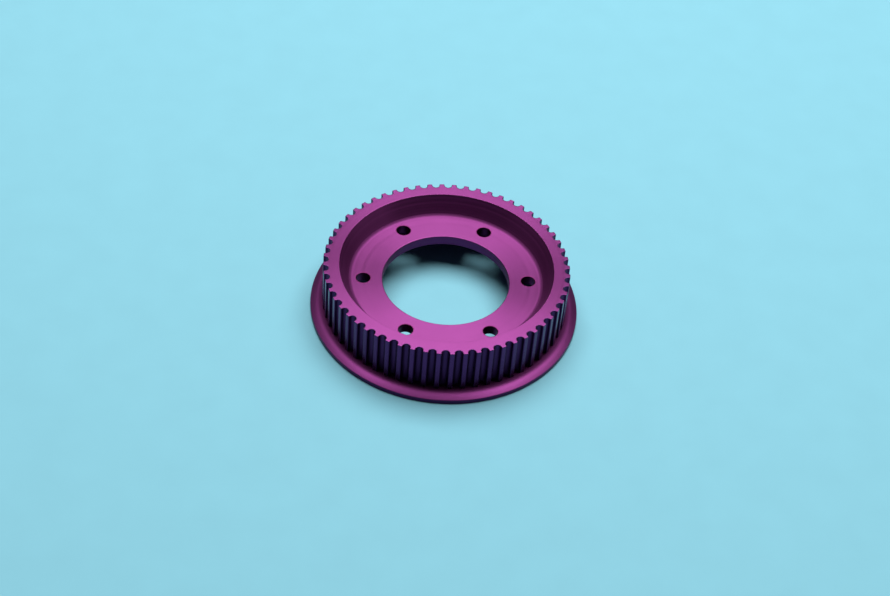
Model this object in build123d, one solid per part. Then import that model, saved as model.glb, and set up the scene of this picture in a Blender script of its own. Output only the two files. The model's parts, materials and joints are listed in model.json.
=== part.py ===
from build123d import *
from math import asin, cos, pi, radians, sin, tan
import os

# Timing belt pulley: a dished, toothed body and the flange ring that is pressed on under its
# teeth. Millimetres, +Z up along the pulley's axis. The origin is on the axis, on the plane
# that the pulley stands on. One bolt hole lies on the +X side.

# Driving dimensions
BELT_PITCH = 3.0
TOOTH_COUNT = 60
PITCH_LINE_OFFSET = 0.381  # from the tooth tips out to the belt's pitch line
GROOVE_DEPTH = 1.14
GROOVE_RADIUS = 0.87
TIP_ROUNDING = 0.22
TOOTH_PHASE = 0.67  # degrees from the +X bolt hole to the centre of the nearest tooth

TOTAL_HEIGHT = 13.0
WEB_TOP = 8.5
WEB_THICKNESS = 2.5
DISH_MOUTH_RADIUS = 24.55
DISH_WALL_ANGLE = 28.0  # degrees from the axis
DISH_FILLET = 1.0
UNDERSIDE_RADIUS = 24.0
UNDERSIDE_FILLET = 1.2

BORE_RADIUS = 14.6
BOLT_CIRCLE_RADIUS = 19.0
BOLT_COUNT = 6
BOLT_HOLE_RADIUS = 1.63

FLANGE_RADIUS = 31.0
FLANGE_THICKNESS = 2.0
FLANGE_SEAT_RADIUS = 28.9  # where the flat seat by the teeth ends and the slope starts
FLANGE_EDGE_HEIGHT = 1.1
FLANGE_SLOPE_RADIUS = 12.0  # of the shallow arc that falls from the seat to the edge
FLANGE_EDGE_ROUNDING = 0.2
SPIGOT_RADIUS = 26.0
SPIGOT_LEAD = 0.3

EDGE_BREAK = 0.2
FINE_EDGE_BREAK = 0.1

# Worked-out dimensions
PITCH_RADIUS = BELT_PITCH * TOOTH_COUNT / (2 * pi)
TIP_RADIUS = PITCH_RADIUS - PITCH_LINE_OFFSET
WEB_BOTTOM = WEB_TOP - WEB_THICKNESS
DISH_FLOOR_RADIUS = DISH_MOUTH_RADIUS - (TOTAL_HEIGHT - WEB_TOP) * tan(radians(DISH_WALL_ANGLE))
CUTTER_OVERRUN = 1.0


def at_angle(radius, angle):
    """A point in the XY plane, from its radius and its angle in radians."""
    return (radius * cos(angle), radius * sin(angle))


def turned(section):
    """The solid that a closed sketch in the XZ plane sweeps about the axis."""
    return revolve(section, axis=Axis.Z)


def corners_near(sketch, radius, height):
    """The vertices of an XZ sketch that lie at one radius and height."""
    place = Vector(radius, 0, height)
    return [corner for corner in sketch.vertices() if (Vector(*corner) - place).length < 0.01]


def body_section():
    """Half section of the body, from the bore out to the tooth tips, before the teeth are cut."""
    outline = [
        (BORE_RADIUS, WEB_BOTTOM),
        (BORE_RADIUS, WEB_TOP),
        (DISH_FLOOR_RADIUS, WEB_TOP),
        (DISH_MOUTH_RADIUS, TOTAL_HEIGHT),
        (TIP_RADIUS, TOTAL_HEIGHT),
        (TIP_RADIUS, FLANGE_THICKNESS),
        (SPIGOT_RADIUS, FLANGE_THICKNESS),
        (SPIGOT_RADIUS, 0),
        (UNDERSIDE_RADIUS, 0),
        (UNDERSIDE_RADIUS, WEB_BOTTOM),
    ]
    section = Plane.XZ * make_face(Polyline(*outline, close=True))
    section = fillet(corners_near(section, DISH_FLOOR_RADIUS, WEB_TOP), DISH_FILLET)
    section = fillet(corners_near(section, UNDERSIDE_RADIUS, WEB_BOTTOM), UNDERSIDE_FILLET)
    section = chamfer(corners_near(section, BORE_RADIUS, WEB_TOP), EDGE_BREAK)
    section = chamfer(corners_near(section, BORE_RADIUS, WEB_BOTTOM), EDGE_BREAK)
    section = chamfer(corners_near(section, UNDERSIDE_RADIUS, 0), EDGE_BREAK)
    section = chamfer(corners_near(section, SPIGOT_RADIUS, 0), SPIGOT_LEAD)
    section = chamfer(corners_near(section, DISH_MOUTH_RADIUS, TOTAL_HEIGHT), FINE_EDGE_BREAK)
    return section


def groove_outline():
    """One round-bottomed belt groove centred on +X, with the tooth tips rounded into it."""
    groove_centre = TIP_RADIUS - GROOVE_DEPTH + GROOVE_RADIUS
    corner_centre = TIP_RADIUS - TIP_ROUNDING
    reach = GROOVE_RADIUS + TIP_ROUNDING
    rise = corner_centre - groove_centre
    half_angle = 2 * asin(((reach**2 - rise**2) / (4 * groove_centre * corner_centre)) ** 0.5)
    corner_x, corner_y = at_angle(corner_centre, half_angle)
    share = GROOVE_RADIUS / reach
    flank = (groove_centre + (corner_x - groove_centre) * share, corner_y * share)
    tip = at_angle(TIP_RADIUS, half_angle)
    outer = TIP_RADIUS + CUTTER_OVERRUN
    upper = RadiusArc(tip, flank, -TIP_ROUNDING)
    bottom = ThreePointArc(flank, (groove_centre - GROOVE_RADIUS, 0), (flank[0], -flank[1]))
    lower = RadiusArc((flank[0], -flank[1]), (tip[0], -tip[1]), -TIP_ROUNDING)
    mouth = Polyline((tip[0], -tip[1]), (outer, -tip[1]), (outer, tip[1]), tip)
    return make_face(upper + bottom + lower + mouth)


def groove_cutter():
    """A straight cutter for one groove, from the flange seat up past the top face."""
    depth = TOTAL_HEIGHT - FLANGE_THICKNESS + CUTTER_OVERRUN
    return Pos(0, 0, FLANGE_THICKNESS) * extrude(groove_outline(), depth)


def bolt_holes():
    """The drills for the bolt circle through the web, with the first one on +X."""
    drill = Pos(0, 0, WEB_TOP) * Cylinder(BOLT_HOLE_RADIUS, 3 * WEB_THICKNESS)
    return [place * drill for place in PolarLocations(BOLT_CIRCLE_RADIUS, BOLT_COUNT)]


def toothed_body():
    """The body: rim, dished wall, web and flange spigot in one turned piece, with its teeth."""
    body = turned(body_section())
    body -= bolt_holes()
    first_groove = TOOTH_PHASE + 180 / TOOTH_COUNT
    cutter = groove_cutter()
    step = 360 / TOOTH_COUNT
    body -= [Rot(0, 0, first_groove + step * index) * cutter for index in range(TOOTH_COUNT)]
    return body


def flange_section():
    """Half section of the flange ring: a flat seat, and a slightly convex slope to its edge."""
    seat_start = (SPIGOT_RADIUS, FLANGE_THICKNESS)
    seat_end = (FLANGE_SEAT_RADIUS, FLANGE_THICKNESS)
    edge_top = (FLANGE_RADIUS, FLANGE_EDGE_HEIGHT)
    slope = RadiusArc(seat_end, edge_top, FLANGE_SLOPE_RADIUS)
    rest = Polyline(edge_top, (FLANGE_RADIUS, 0), (SPIGOT_RADIUS, 0), seat_start, seat_end)
    section = Plane.XZ * make_face(slope + rest)
    section = fillet(corners_near(section, *edge_top), FLANGE_EDGE_ROUNDING)
    section = fillet(corners_near(section, FLANGE_RADIUS, 0), EDGE_BREAK)
    section = chamfer(corners_near(section, SPIGOT_RADIUS, 0), EDGE_BREAK)
    return section


def belt_flange():
    """The ring that keeps the belt on: pressed on the spigot, up against the teeth."""
    return turned(flange_section())


os.makedirs("parts", exist_ok=True)
export_step(toothed_body(), "parts/toothed_body.step")
export_step(belt_flange(), "parts/belt_flange.step")
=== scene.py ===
import json
from math import asin, atan2, cos, pi, radians, sin, sqrt, tan

import bpy
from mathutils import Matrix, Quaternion, Vector
from mathutils.geometry import tessellate_polygon


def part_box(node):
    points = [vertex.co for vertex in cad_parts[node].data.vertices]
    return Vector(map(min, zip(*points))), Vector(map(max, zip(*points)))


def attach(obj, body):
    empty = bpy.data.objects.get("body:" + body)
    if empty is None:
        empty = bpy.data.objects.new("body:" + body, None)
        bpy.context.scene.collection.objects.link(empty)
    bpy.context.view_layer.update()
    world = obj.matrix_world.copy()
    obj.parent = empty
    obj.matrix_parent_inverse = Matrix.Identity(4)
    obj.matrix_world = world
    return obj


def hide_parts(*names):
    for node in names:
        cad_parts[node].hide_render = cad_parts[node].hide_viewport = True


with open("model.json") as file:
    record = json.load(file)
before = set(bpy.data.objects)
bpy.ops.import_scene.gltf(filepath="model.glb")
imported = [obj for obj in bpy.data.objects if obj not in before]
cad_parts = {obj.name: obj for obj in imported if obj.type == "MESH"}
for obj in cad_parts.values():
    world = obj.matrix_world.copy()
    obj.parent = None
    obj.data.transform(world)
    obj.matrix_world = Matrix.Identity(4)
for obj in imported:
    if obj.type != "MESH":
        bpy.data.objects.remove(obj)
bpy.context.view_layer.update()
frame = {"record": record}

# ---------------------------------------------------------------- sizes, in metres
MM = 0.001
MOUNTS = {mount["name"]: mount for mount in frame["record"]["mounts"]}
BODY_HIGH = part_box("toothed_body")[1]
FLANGE_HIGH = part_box("belt_flange")[1]

TOTAL_HEIGHT = BODY_HIGH.z
TIP_RADIUS = BODY_HIGH.x
WEB_TOP = MOUNTS["web_top"]["pos_m"][2]
WEB_BOTTOM = MOUNTS["web_underside"]["pos_m"][2]
BORE_RADIUS = MOUNTS["bore"]["dims"]["r_mm"] * MM
BOLT_CIRCLE_RADIUS = MOUNTS["bolt_circle"]["dims"]["pcd_mm"] * MM / 2
BOLT_COUNT = MOUNTS["bolt_circle"]["dims"]["count"]
BOLT_HOLE_RADIUS = MOUNTS["bolt_circle"]["dims"]["hole_r_mm"] * MM
FLANGE_RADIUS = FLANGE_HIGH.x
FLANGE_THICKNESS = FLANGE_HIGH.z

TOOTH_COUNT = 60
TOOTH_PITCH = 2 * pi / TOOTH_COUNT
TOOTH_PHASE = radians(0.67)  # from the +X bolt hole to the centre of the nearest tooth
GROOVE_DEPTH = 1.14 * MM
GROOVE_RADIUS = 0.87 * MM
TIP_ROUNDING = 0.22 * MM
DISH_MOUTH_RADIUS = 24.55 * MM
DISH_WALL_ANGLE = radians(28)  # from the axis
DISH_FILLET = 1.0 * MM
UNDERSIDE_RADIUS = 24.0 * MM
UNDERSIDE_FILLET = 1.2 * MM
SPIGOT_RADIUS = 26.0 * MM
FLANGE_SEAT_RADIUS = 28.9 * MM  # where the flat seat ends and the slope starts
FLANGE_EDGE_HEIGHT = 1.1 * MM
FLANGE_SLOPE_RADIUS = 12.0 * MM  # of the arc that falls from the seat to the edge
FLANGE_EDGE_ROUNDING = 0.2 * MM
EDGE_ROUNDING = 0.2 * MM
RIM_ROUNDING = 0.12 * MM  # of the toothed outline's top edge
GROOVE_EASE = 0.12 * MM  # how much wider that rounding is at the bottom of a groove
HOLE_ROUNDING = 0.15 * MM
FINE_ROUNDING = 0.1 * MM
FLAT_MARGIN = 0.4 * MM  # flat strip kept beside a rounded edge, before a filled plane starts
HOLE_EDGE_REACH = 1.5 * HOLE_ROUNDING  # from a bolt hole's wall to where the filled plane starts

# Fineness of the meshes
WELD_STEPS_PER_MM = 5000
CIRCLE_STEPS = 480
HOLE_STEPS = 72
LAND_STEPS = 3
TIP_STEPS = 5
GROOVE_STEPS = 16
ROUNDING_STEPS = 4
FILLET_STEPS = 10
SLOPE_STEPS = 8

# Painted shade on the flange, darkest on its seat up against the teeth
SEAT_PAINTED_SHADE = -1.8
SEAT_END_PAINTED_SHADE = SEAT_PAINTED_SHADE * 0.7
PAINTED_SHADE_FADE = 3  # it has gone by one third of the way down the slope

# Material indices of the body, of which the flange has the first two
TURNED, HOBBED, DRILLED, LAND = 0, 1, 2, 3


# ---------------------------------------------------------------- mesh building
class Skin:
    """A mesh in the making: welded points, faces, a normal for each face corner, and for each point
    its edge wear with a painted highlight, or its painted shade.
    """

    def __init__(self):
        self.points = []
        self.places = {}
        self.faces = []
        self.normals = []
        self.finishes = []
        self.wear_and_painted_light = []

    def point(self, place, wear_and_painted_light):
        """The index of the point at a place. It keeps the strongest value of edge wear and painted
        light that it is given.
        """
        key = tuple(round(value / MM * WELD_STEPS_PER_MM) for value in place)
        if key not in self.places:
            self.places[key] = len(self.points)
            self.points.append(place)
            self.wear_and_painted_light.append(wear_and_painted_light)
        index = self.places[key]
        self.wear_and_painted_light[index] = max(self.wear_and_painted_light[index], wear_and_painted_light, key=abs)
        return index

    def face(self, corners, finish):
        """corners are (place, normal, wear and painted light). The winding follows the normals."""
        first, second, third = (Vector(corner[0]) for corner in corners[:3])
        last = Vector(corners[-1][0])
        facing = (second - first).cross(third - first) + (third - first).cross(last - first)
        if facing.dot(sum((Vector(corner[1]) for corner in corners), Vector())) < 0:
            corners = corners[::-1]
        indices = []
        normals = []
        for place, normal, wear_and_painted_light in corners:
            index = self.point(place, wear_and_painted_light)
            if index not in indices:
                indices.append(index)
                normals.append(normal)
        if len(indices) > 2:
            self.faces.append(indices)
            self.normals.extend(normals)
            self.finishes.append(finish)

    def wrap(self, rings, finishes):
        """Joins each ring of corners to the next with four-sided faces, all the way round.

        The finishes are repeated in turn along the ring.
        """
        for ring, following in zip(rings, rings[1:]):
            for index in range(len(ring)):
                after = (index + 1) % len(ring)
                corners = [ring[index], ring[after], following[after], following[index]]
                self.face(corners, finishes[index % len(finishes)])

    def plate(self, loops, height, upward, finish):
        """Fills the flat region inside the first loop and outside the others."""
        normal = (0, 0, 1 if upward else -1)
        places = [(x, y, height) for loop in loops for x, y in loop]
        flat = [[Vector((x, y, 0)) / MM for x, y in loop] for loop in loops]
        for triangle in tessellate_polygon(flat):
            self.face([(places[index], normal, 0.0) for index in triangle], finish)

    def build(self, name, materials):
        """The finished object, linked to the scene."""
        mesh = bpy.data.meshes.new(name)
        mesh.from_pydata(self.points, [], self.faces)
        for material in materials:
            mesh.materials.append(material)
        mesh.polygons.foreach_set("material_index", self.finishes)
        mesh.polygons.foreach_set("use_smooth", [True] * len(self.faces))
        # Edge wear with a painted highlight where positive, painted shade where negative, for the
        # materials to read
        wear_and_painted_light = mesh.attributes.new("wear_and_painted_light", "FLOAT", "POINT")
        wear_and_painted_light.data.foreach_set("value", self.wear_and_painted_light)
        mesh.normals_split_custom_set(self.normals)
        mesh.update()
        piece = bpy.data.objects.new(name, mesh)
        bpy.context.scene.collection.objects.link(piece)
        return piece


def rounded_path(corners):
    """A section's outline as (across, up, normal across, normal up, wear and painted light).

    corners are (across, up, rounding, steps). The surface faces the left of the direction of
    travel. The first and last corners are ends, and are not rounded. The value is 1 in the middle
    of an outside corner, for edge wear with a painted highlight, and -1 in the middle of an
    inside one, for painted shade.
    """
    places = [Vector(corner[:2]) for corner in corners]
    ways = [(end - start).normalized() for start, end in zip(places, places[1:])]
    lefts = [Vector((-way.y, way.x)) for way in ways]
    path = [(*places[0], *lefts[0], 0.0)]
    for index in range(1, len(corners) - 1):
        rounding, steps = corners[index][2:]
        before, after = ways[index - 1], ways[index]
        turn = atan2(before.x * after.y - before.y * after.x, before.dot(after))
        if rounding == 0:
            path.append((*places[index], *lefts[index - 1], 0.0))
            path.append((*places[index], *lefts[index], 0.0))
            continue
        reach = rounding * tan(abs(turn) / 2)
        side = 1 if turn > 0 else -1
        centre = places[index] - before * reach + lefts[index - 1] * rounding * side
        start_angle = atan2(lefts[index - 1].y, lefts[index - 1].x)
        for step in range(steps + 1):
            angle = start_angle + turn * step / steps
            normal = Vector((cos(angle), sin(angle)))
            place = centre - normal * rounding * side
            wear_and_painted_light = -side * sin(pi * step / steps)
            path.append((*place, *normal, wear_and_painted_light))
    path.append((*places[-1], *lefts[-1], 0.0))
    return path


def turned_rings(path, steps, middle=(0.0, 0.0)):
    """The rings of corners that a section's outline sweeps about a vertical axis at middle."""
    turns = [(cos(2 * pi * step / steps), sin(2 * pi * step / steps)) for step in range(steps)]
    rings = []
    for across, up, normal_across, normal_up, wear_and_painted_light in path:
        ring = []
        for turn_x, turn_y in turns:
            place = (middle[0] + across * turn_x, middle[1] + across * turn_y, up)
            ring.append((place, (normal_across * turn_x, normal_across * turn_y, normal_up), wear_and_painted_light))
        rings.append(ring)
    return rings


def turned_section(corners):
    """The rings that a section with rounded corners sweeps about the pulley's axis."""
    return turned_rings(rounded_path(corners), CIRCLE_STEPS)


def loop_of(ring):
    """A ring's places as (x, y)."""
    return [corner[0][:2] for corner in ring]


# ---------------------------------------------------------------- toothed body
def arc_points(centre, radius, start, end, steps, facing):
    """(x, y, normal x, normal y) along an arc; facing is 1 where the surface faces outward."""
    points = []
    for step in range(steps):
        angle = start + (end - start) * step / steps
        x, y = cos(angle), sin(angle)
        points.append((centre[0] + radius * x, centre[1] + radius * y, facing * x, facing * y))
    return points


def groove_and_land():
    """One belt pitch of the rim's outline, from the start of a groove centred on +X."""
    groove_centre = TIP_RADIUS - GROOVE_DEPTH + GROOVE_RADIUS
    corner_centre = TIP_RADIUS - TIP_ROUNDING
    reach = GROOVE_RADIUS + TIP_ROUNDING
    rise = corner_centre - groove_centre
    half_angle = 2 * asin(sqrt((reach**2 - rise**2) / (4 * groove_centre * corner_centre)))
    corner_x = corner_centre * cos(half_angle)
    corner_y = corner_centre * sin(half_angle)
    lean = atan2(corner_y, groove_centre - corner_x)
    low_corner = (corner_x, -corner_y)
    high_corner = (corner_x, corner_y)
    groove = (groove_centre, 0)
    points = arc_points(low_corner, TIP_ROUNDING, -half_angle, lean, TIP_STEPS, 1)
    points += arc_points(groove, GROOVE_RADIUS, pi + lean, pi - lean, GROOVE_STEPS, -1)
    points += arc_points(high_corner, TIP_ROUNDING, -lean, half_angle, TIP_STEPS, 1)
    land_end = TOOTH_PITCH - half_angle
    points += arc_points((0, 0), TIP_RADIUS, half_angle, land_end, LAND_STEPS, 1)
    return points


def rim_outline():
    """The whole toothed outline, as (x, y, normal x, normal y)."""
    outline = []
    one_pitch = groove_and_land()
    for tooth in range(TOOTH_COUNT):
        angle = TOOTH_PHASE + TOOTH_PITCH * (tooth + 0.5)
        c, s = cos(angle), sin(angle)
        for x, y, normal_x, normal_y in one_pitch:
            place = (x * c - y * s, x * s + y * c)
            normal = (normal_x * c - normal_y * s, normal_x * s + normal_y * c)
            outline.append((*place, *normal))
    return outline


def rim_ring(outline, height, lift=0.0, shrink=0.0, wear_and_painted_light=0.0):
    """A ring of corners on the toothed outline; lift is the normal's tilt up, in radians.

    shrink is the share of the top edge's rounding by which the ring is drawn in.
    """
    ring = []
    for x, y, normal_x, normal_y in outline:
        depth = (TIP_RADIUS - sqrt(x * x + y * y)) / GROOVE_DEPTH
        inset = shrink * (RIM_ROUNDING + GROOVE_EASE * max(depth, 0))
        place = (x - normal_x * inset, y - normal_y * inset, height)
        normal = (normal_x * cos(lift), normal_y * cos(lift), sin(lift))
        ring.append((place, normal, wear_and_painted_light))
    return ring


def make_toothed_body(materials):
    """Rim, dish, bore, underside with its spigot, and bolt holes, joined by filled planes."""
    skin = Skin()
    outline = rim_outline()
    rim_rings = []
    for step in range(ROUNDING_STEPS + 1):
        angle = pi / 2 * step / ROUNDING_STEPS
        height = TOTAL_HEIGHT - RIM_ROUNDING * (1 - cos(angle))
        # The last value lightens the top edge's rounding: partly edge wear, partly a painted
        # highlight
        ring = rim_ring(outline, height, pi / 2 - angle, 1 - sin(angle), sin(2 * angle))
        rim_rings.append(ring)
    rim_rings.append(rim_ring(outline, FLANGE_THICKNESS))
    skin.wrap(rim_rings, [HOBBED] * (2 * TIP_STEPS + GROOVE_STEPS) + [LAND] * LAND_STEPS)

    dish_depth = TOTAL_HEIGHT - WEB_TOP
    dish_floor = DISH_MOUTH_RADIUS - dish_depth * tan(DISH_WALL_ANGLE)
    floor_end = dish_floor - DISH_FILLET * tan((pi / 2 - DISH_WALL_ANGLE) / 2) - FINE_ROUNDING
    dish = turned_section(
        [
            (floor_end, WEB_TOP, 0, 0),
            (dish_floor, WEB_TOP, DISH_FILLET, FILLET_STEPS),
            (DISH_MOUTH_RADIUS, TOTAL_HEIGHT, FINE_ROUNDING, ROUNDING_STEPS),
            (DISH_MOUTH_RADIUS + FLAT_MARGIN, TOTAL_HEIGHT, 0, 0),
        ]
    )
    skin.wrap(dish, [TURNED])

    bore_edge = BORE_RADIUS + FLAT_MARGIN + EDGE_ROUNDING
    bore = turned_section(
        [
            (bore_edge, WEB_BOTTOM, 0, 0),
            (BORE_RADIUS, WEB_BOTTOM, EDGE_ROUNDING, ROUNDING_STEPS),
            (BORE_RADIUS, WEB_TOP, EDGE_ROUNDING, ROUNDING_STEPS),
            (bore_edge, WEB_TOP, 0, 0),
        ]
    )
    skin.wrap(bore, [TURNED])

    recess_start = UNDERSIDE_RADIUS - UNDERSIDE_FILLET - FLAT_MARGIN
    spigot_end = SPIGOT_RADIUS + FLAT_MARGIN
    recess = turned_section(
        [
            (spigot_end, FLANGE_THICKNESS, 0, 0),
            (SPIGOT_RADIUS, FLANGE_THICKNESS, 0, 0),
            (SPIGOT_RADIUS, 0, EDGE_ROUNDING, ROUNDING_STEPS),
            (UNDERSIDE_RADIUS, 0, EDGE_ROUNDING, ROUNDING_STEPS),
            (UNDERSIDE_RADIUS, WEB_BOTTOM, UNDERSIDE_FILLET, FILLET_STEPS),
            (recess_start, WEB_BOTTOM, 0, 0),
        ]
    )
    skin.wrap(recess, [TURNED])

    hole_edge = BOLT_HOLE_RADIUS + HOLE_EDGE_REACH
    hole_path = rounded_path(
        [
            (hole_edge, WEB_BOTTOM, 0, 0),
            (BOLT_HOLE_RADIUS, WEB_BOTTOM, HOLE_ROUNDING, ROUNDING_STEPS),
            (BOLT_HOLE_RADIUS, WEB_TOP, HOLE_ROUNDING, ROUNDING_STEPS),
            (hole_edge, WEB_TOP, 0, 0),
        ]
    )
    hole_loops = []
    for bolt in range(BOLT_COUNT):
        angle = 2 * pi * bolt / BOLT_COUNT
        middle = (BOLT_CIRCLE_RADIUS * cos(angle), BOLT_CIRCLE_RADIUS * sin(angle))
        hole = turned_rings(hole_path, HOLE_STEPS, middle)
        skin.wrap(hole, [DRILLED])
        hole_loops.append(loop_of(hole[0]))

    skin.plate([loop_of(rim_rings[0]), loop_of(dish[-1])], TOTAL_HEIGHT, True, TURNED)
    skin.plate([loop_of(dish[0]), loop_of(bore[-1]), *hole_loops], WEB_TOP, True, TURNED)
    skin.plate([loop_of(recess[-1]), loop_of(bore[0]), *hole_loops], WEB_BOTTOM, False, TURNED)
    skin.plate([loop_of(rim_rings[-1]), loop_of(recess[0])], FLANGE_THICKNESS, False, TURNED)
    return skin.build("pulley_body", materials)


# ---------------------------------------------------------------- flange ring
def flange_slope():
    """(across, up, normal across, normal up, wear and painted light) from the seat's end down to
    the edge.

    The slope is one shallow arc, and the edge's rounding touches it and the upright edge.
    """
    start = Vector((FLANGE_SEAT_RADIUS, FLANGE_THICKNESS))
    chord = Vector((FLANGE_RADIUS, FLANGE_EDGE_HEIGHT)) - start
    rise = sqrt(FLANGE_SLOPE_RADIUS**2 - chord.length_squared / 4)
    centre = start + chord / 2 - Vector((-chord.y, chord.x)).normalized() * rise
    corner_x = FLANGE_RADIUS - FLANGE_EDGE_ROUNDING
    reach = FLANGE_SLOPE_RADIUS - FLANGE_EDGE_ROUNDING
    first_lean = asin((start.x - centre.x) / FLANGE_SLOPE_RADIUS)
    last_lean = asin((corner_x - centre.x) / reach)
    corner = Vector((corner_x, centre.y + reach * cos(last_lean)))
    points = []
    for step in range(SLOPE_STEPS + 1):
        lean = first_lean + (last_lean - first_lean) * step / SLOPE_STEPS
        normal = Vector((sin(lean), cos(lean)))
        # Painted shade carried on from the seat, gone a third of the way down the slope
        wear_and_painted_light = SEAT_END_PAINTED_SHADE * max(1 - PAINTED_SHADE_FADE * step / SLOPE_STEPS, 0)
        points.append((*(centre + normal * FLANGE_SLOPE_RADIUS), *normal, wear_and_painted_light))
    for step in range(1, ROUNDING_STEPS + 1):
        lean = last_lean + (pi / 2 - last_lean) * step / ROUNDING_STEPS
        normal = Vector((sin(lean), cos(lean)))
        points.append((*(corner + normal * FLANGE_EDGE_ROUNDING), *normal, 0.0))
    return points


def make_flange(materials):
    """The ring, in two surfaces that meet at the slope's foot and in the middle of the seat.

    The upright edge has the hobbed finish, and the rest the turned one.
    """
    middle = (SPIGOT_RADIUS + FLANGE_SEAT_RADIUS) / 2
    slope = flange_slope()
    underside = turned_section(
        [
            (FLANGE_RADIUS, slope[-1][1], 0, 0),
            (FLANGE_RADIUS, 0, FINE_ROUNDING, ROUNDING_STEPS),
            (SPIGOT_RADIUS, 0, EDGE_ROUNDING, ROUNDING_STEPS),
            (SPIGOT_RADIUS, FLANGE_THICKNESS, 0, 0),
            (middle, FLANGE_THICKNESS, 0, 0),
        ]
    )
    # The seat is darkened with painted shade, darkest up against the teeth
    seat = [
        (FLANGE_SEAT_RADIUS, FLANGE_THICKNESS, 0.0, 1.0, SEAT_END_PAINTED_SHADE),
        (TIP_RADIUS, FLANGE_THICKNESS, 0.0, 1.0, SEAT_PAINTED_SHADE),
        (middle, FLANGE_THICKNESS, 0.0, 1.0, SEAT_PAINTED_SHADE),
    ]
    skin = Skin()
    skin.wrap(underside[:2], [HOBBED])
    skin.wrap(underside[1:], [TURNED])
    skin.wrap(turned_rings(slope[::-1] + seat, CIRCLE_STEPS), [TURNED])
    return skin.build("flange_ring", materials)


# ---------------------------------------------------------------- materials
TURNED_DYE = (0.131, 0.0255, 0.111)
HOBBED_DYE = (0.07, 0.0185, 0.08)
LAND_DYE = (0.09, 0.023, 0.097)
DRILLED_DYE = (0.1, 0.015, 0.07)
# The paler colour that outside edges take: partly rubbed wear, partly a painted highlight
EDGE_WEAR_AND_HIGHLIGHT = (0.22, 0.055, 0.18)
PAPER_COLOUR = (0.157, 0.37, 0.443)

DARK_CLOUD, LIGHT_CLOUD = 0.94, 1.06  # the dye's brightness at both ends of its unevenness
PAINTED_CORNER_SHADE = 0.42  # the dye's brightness in inside corners, as painted shade
PAINTED_SHADE_SHARE = 0.55  # how much of that painted shade shows at a value of -1
CORNER_ROUGHNESS = 0.2  # added to a turned surface in inside corners, at a value of -1
UPRIGHT_RINGS = 1.3  # how fast the turned rings pass up a wall, against across a flat


class Finish:
    """A material in the making, with short ways to add nodes to it."""

    def __init__(self, name):
        self.material = bpy.data.materials.new(name)
        self.material.use_nodes = True
        self.nodes = self.material.node_tree.nodes
        self.links = self.material.node_tree.links
        self.surface = self.nodes["Principled BSDF"].inputs

    def feed(self, socket, value):
        """Links a node's output to the socket, or sets a constant on it."""
        if isinstance(value, bpy.types.NodeSocket):
            self.links.new(value, socket)
        else:
            socket.default_value = value

    def math(self, operation, first, second=0.0):
        node = self.nodes.new("ShaderNodeMath")
        node.operation = operation
        self.feed(node.inputs[0], first)
        self.feed(node.inputs[1], second)
        return node.outputs[0]

    def place(self):
        """The point's place in the object's own frame, in metres."""
        return self.nodes.new("ShaderNodeTexCoord").outputs["Object"]

    def wear_and_painted_light(self, sign):
        """How far an outside corner is lightened, by edge wear and a painted highlight, for sign 1,
        or darkened by painted shade in an inside one, for -1.
        """
        node = self.nodes.new("ShaderNodeAttribute")
        node.attribute_name = "wear_and_painted_light"
        return self.math("MAXIMUM", self.math("MULTIPLY", node.outputs["Fac"], sign))

    def stretched(self, place, scale):
        """The place with each axis scaled, so that noise runs long where the scale is low."""
        node = self.nodes.new("ShaderNodeVectorMath")
        node.operation = "MULTIPLY"
        self.feed(node.inputs[0], place)
        self.feed(node.inputs[1], scale)
        return node.outputs[0]

    def noise(self, place, feature, detail=2.0, dimensions="3D"):
        """Noise whose lumps are about feature metres across."""
        node = self.nodes.new("ShaderNodeTexNoise")
        node.noise_dimensions = dimensions
        self.feed(node.inputs["W" if dimensions == "1D" else "Vector"], place)
        node.inputs["Scale"].default_value = 1 / feature
        node.inputs["Detail"].default_value = detail
        return node.outputs[0]

    def span(self, value, low, high, start=0.3, end=0.7):
        """Takes start..end, where most noise lies, to low..high."""
        node = self.nodes.new("ShaderNodeMapRange")
        self.feed(node.inputs["Value"], value)
        node.inputs["From Min"].default_value = start
        node.inputs["From Max"].default_value = end
        node.inputs["To Min"].default_value = low
        node.inputs["To Max"].default_value = high
        return node.outputs[0]

    def mix(self, share, first, second):
        node = self.nodes.new("ShaderNodeMix")
        node.data_type = "RGBA"
        self.feed(node.inputs["Factor"], share)
        self.feed(node.inputs[6], first)
        self.feed(node.inputs[7], second)
        return node.outputs[2]

    def bump(self, height, distance, under=None):
        node = self.nodes.new("ShaderNodeBump")
        node.inputs["Distance"].default_value = distance
        self.feed(node.inputs["Height"], height)
        if under:
            self.feed(node.inputs["Normal"], under)
        return node.outputs[0]


def shade(colour, factor):
    """The colour with its brightness changed, as an opaque RGBA."""
    return (*(channel * factor for channel in colour), 1)


def dyed(finish, place, pattern, colour):
    """The dye's colour: uneven by the pattern, paler on outside edges by wear and a painted
    highlight, and darker in inside corners by painted shade.
    """
    dark, light = shade(colour, DARK_CLOUD), shade(colour, LIGHT_CLOUD)
    dye = finish.mix(finish.span(pattern, 0, 1), dark, light)
    # Outside edges are lightened in patches: partly rubbed wear, partly a painted highlight
    wear_and_highlight_patches = finish.span(finish.noise(place, 0.5 * MM, 3), 0.1, 0.5)
    share = finish.math("MULTIPLY", finish.wear_and_painted_light(1), wear_and_highlight_patches)
    worn_and_highlit = finish.mix(share, dye, shade(EDGE_WEAR_AND_HIGHLIGHT, 1))
    # Inside corners are darkened with painted shade
    corner_shade_share = finish.math("MULTIPLY", finish.wear_and_painted_light(-1), PAINTED_SHADE_SHARE)
    return finish.mix(corner_shade_share, worn_and_highlit, shade(colour, PAINTED_CORNER_SHADE))


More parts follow.
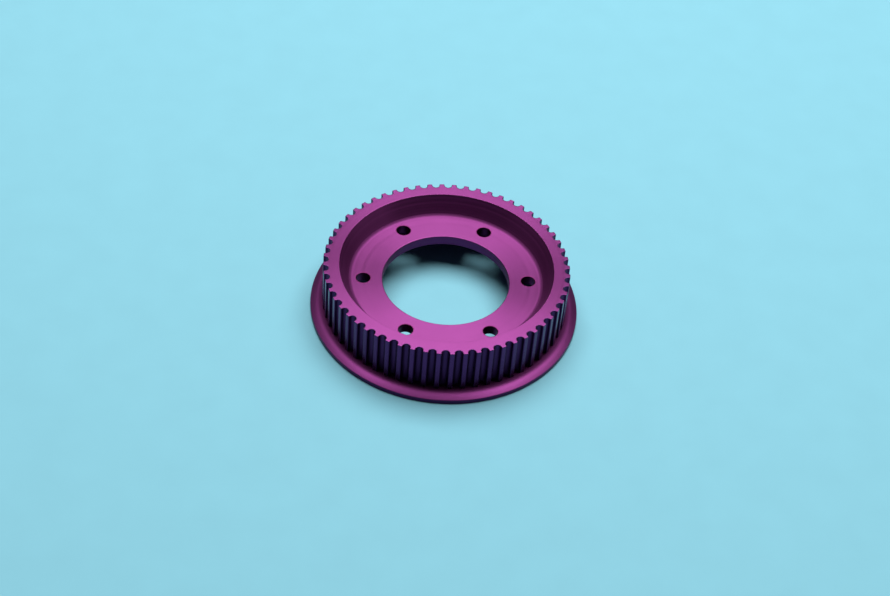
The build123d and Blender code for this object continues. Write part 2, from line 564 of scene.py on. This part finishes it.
def turned_finish(name, colour):
    """Satin anodised aluminium off a lathe: fine rings about the axis, in the dye and the shine."""
    finish = Finish(name)
    place = finish.place()
    split = finish.nodes.new("ShaderNodeSeparateXYZ")
    finish.feed(split.inputs[0], place)
    across = finish.math(
        "SQRT",
        finish.math(
            "ADD",
            finish.math("POWER", finish.math("ABSOLUTE", split.outputs["X"]), 2.0),
            finish.math("POWER", finish.math("ABSOLUTE", split.outputs["Y"]), 2.0),
        ),
    )
    climb = finish.math("MULTIPLY", split.outputs["Z"], UPRIGHT_RINGS)
    along = finish.math("ADD", across, climb)
    feed_lines = finish.noise(along, 0.09 * MM, 1, "1D")
    broad_rings = finish.noise(along, 0.9 * MM, 3, "1D")
    grain = finish.noise(place, 0.07 * MM, 2)

    clouds = finish.noise(place, 6 * MM, 3)
    pattern = finish.math(
        "ADD", finish.math("MULTIPLY", clouds, 0.5), finish.math("MULTIPLY", broad_rings, 0.5)
    )
    finish.feed(finish.surface["Base Color"], dyed(finish, place, pattern, colour))
    finish.surface["Metallic"].default_value = 1.0
    rough = finish.math(
        "ADD", finish.span(broad_rings, 0.36, 0.44), finish.span(grain, -0.02, 0.02)
    )
    # Inside corners, where the painted shade lies, are also made rougher
    shaded_corner = finish.math("MINIMUM", finish.wear_and_painted_light(-1), 1.0)
    corner = finish.math("MULTIPLY", shaded_corner, CORNER_ROUGHNESS)
    finish.feed(finish.surface["Roughness"], finish.math("ADD", rough, corner))
    finish.surface["Anisotropic"].default_value = 0.68
    finish.surface["Anisotropic Rotation"].default_value = 0.25
    tangent = finish.nodes.new("ShaderNodeTangent")
    tangent.direction_type = "RADIAL"
    tangent.axis = "Z"
    finish.feed(finish.surface["Tangent"], tangent.outputs["Tangent"])
    lines = finish.bump(feed_lines, 0.0015 * MM)
    finish.feed(finish.surface["Normal"], finish.bump(grain, 0.0008 * MM, lines))
    return finish.material


def cut_finish(name, colour, roughness):
    """Satin anodised aluminium off a hob or a drill: faint straight marks, and a matt grain."""
    finish = Finish(name)
    place = finish.place()
    marks = finish.noise(finish.stretched(place, (1, 1, 0.06)), 0.12 * MM, 2)
    grain = finish.noise(place, 0.06 * MM, 2)
    clouds = finish.noise(place, 4 * MM, 3)
    finish.feed(finish.surface["Base Color"], dyed(finish, place, clouds, colour))
    finish.surface["Metallic"].default_value = 1.0
    uneven = finish.math("ADD", finish.span(marks, -0.03, 0.03), finish.span(grain, -0.02, 0.02))
    rough = finish.math("ADD", uneven, roughness)
    finish.feed(finish.surface["Roughness"], rough)
    streaks = finish.bump(marks, 0.002 * MM)
    finish.feed(finish.surface["Normal"], finish.bump(grain, 0.0008 * MM, streaks))
    return finish.material


def paper(name):
    """Matt pale blue card, faintly uneven, with a fine tooth."""
    finish = Finish(name)
    place = finish.place()
    clouds = finish.noise(place, 9 * MM, 4)
    dark, light = shade(PAPER_COLOUR, 0.985), shade(PAPER_COLOUR, 1.015)
    tone = finish.mix(finish.span(clouds, 0, 1), dark, light)
    finish.feed(finish.surface["Base Color"], tone)
    finish.surface["Roughness"].default_value = 0.85
    finish.surface["Specular IOR Level"].default_value = 0.25
    tooth = finish.noise(place, 0.35 * MM, 3)
    finish.feed(finish.surface["Normal"], finish.bump(tooth, 0.006 * MM))
    return finish.material


# ---------------------------------------------------------------- camera and light
VIEW_AZIMUTH = radians(-95.10)
VIEW_ELEVATION = radians(44.36)
VIEW_DISTANCE = 0.4298
VIEW_AIM = Vector((0.0004, 0.0026, 0.0))
VIEW_ROLL = radians(4.87)
SENSOR_MM = 36
LENS_MM = 74.6
CLIP_START = 0.01

LIGHT_DISTANCE = 0.8
FILL_ZENITH = radians(78)
FILL_SIZE = (0.8, 0.5)
ROOM_COLOUR = (0.5, 0.6, 0.8, 1)
ROOM_STRENGTH = 0.06
FLOOR_HALF = 1.5


def place_camera():
    """The photo's camera: it looks at VIEW_AIM, and is rolled about its own axis."""
    camera = bpy.data.cameras.new("camera")
    camera.sensor_width = SENSOR_MM
    camera.lens = LENS_MM
    camera.clip_start = CLIP_START
    holder = bpy.data.objects.new("camera", camera)
    bpy.context.scene.collection.objects.link(holder)
    bpy.context.scene.camera = holder
    flat = cos(VIEW_ELEVATION)
    way = Vector((flat * cos(VIEW_AZIMUTH), flat * sin(VIEW_AZIMUTH), sin(VIEW_ELEVATION)))
    holder.location = way * VIEW_DISTANCE
    turn = (VIEW_AIM - holder.location).to_track_quat("-Z", "Y")
    holder.rotation_mode = "QUATERNION"
    holder.rotation_quaternion = turn @ Quaternion((0, 0, 1), VIEW_ROLL)


def soft_box(name, azimuth, zenith_angle, size, power):
    """A rectangular soft light that faces the object, with its power in watts."""
    lamp = bpy.data.lights.new(name, "AREA")
    lamp.shape = "RECTANGLE"
    lamp.size, lamp.size_y = size
    lamp.energy = power
    holder = bpy.data.objects.new(name, lamp)
    bpy.context.scene.collection.objects.link(holder)
    flat = sin(zenith_angle)
    way = Vector((flat * cos(azimuth), flat * sin(azimuth), cos(zenith_angle)))
    holder.location = way * LIGHT_DISTANCE
    holder.rotation_mode = "QUATERNION"
    holder.rotation_quaternion = (-way).to_track_quat("-Z", "Y")


def light_scene():
    """A large soft light behind and above, two weak fills at the sides, and a dim room."""
    behind = VIEW_AZIMUTH + pi
    soft_box("overhead", behind - radians(6.5), radians(20), (0.88, 0.6), 15.6)
    soft_box("right_fill", VIEW_AZIMUTH + pi / 2, FILL_ZENITH, FILL_SIZE, 0.5)
    soft_box("left_fill", VIEW_AZIMUTH - pi / 2, FILL_ZENITH, FILL_SIZE, 0.15)
    world = bpy.data.worlds.new("room")
    bpy.context.scene.world = world
    world.use_nodes = True
    background = world.node_tree.nodes["Background"]
    background.inputs["Color"].default_value = ROOM_COLOUR
    background.inputs["Strength"].default_value = ROOM_STRENGTH


def make_floor():
    """The sheet of paper that the pulley stands on, larger than the picture."""
    mesh = bpy.data.meshes.new("floor")
    signs = [(-1, -1), (1, -1), (1, 1), (-1, 1)]
    corners = [(x * FLOOR_HALF, y * FLOOR_HALF, 0) for x, y in signs]
    mesh.from_pydata(corners, [], [(0, 1, 2, 3)])
    mesh.materials.append(paper("pale_paper"))
    floor = bpy.data.objects.new("floor", mesh)
    bpy.context.scene.collection.objects.link(floor)


# ---------------------------------------------------------------- the scene
place_camera()
light_scene()
make_floor()
bpy.context.scene.view_settings.view_transform = "Standard"

turned = turned_finish("turned_anodised", TURNED_DYE)
hobbed = cut_finish("hobbed_anodised", HOBBED_DYE, roughness=0.4)
land = cut_finish("land_anodised", LAND_DYE, roughness=0.25)
drilled = cut_finish("drilled_anodised", DRILLED_DYE, roughness=0.45)
body = make_toothed_body([turned, hobbed, drilled, land])
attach(body, "root")
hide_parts("toothed_body")
flange = make_flange([turned, hobbed])
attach(flange, "root")
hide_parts("belt_flange")
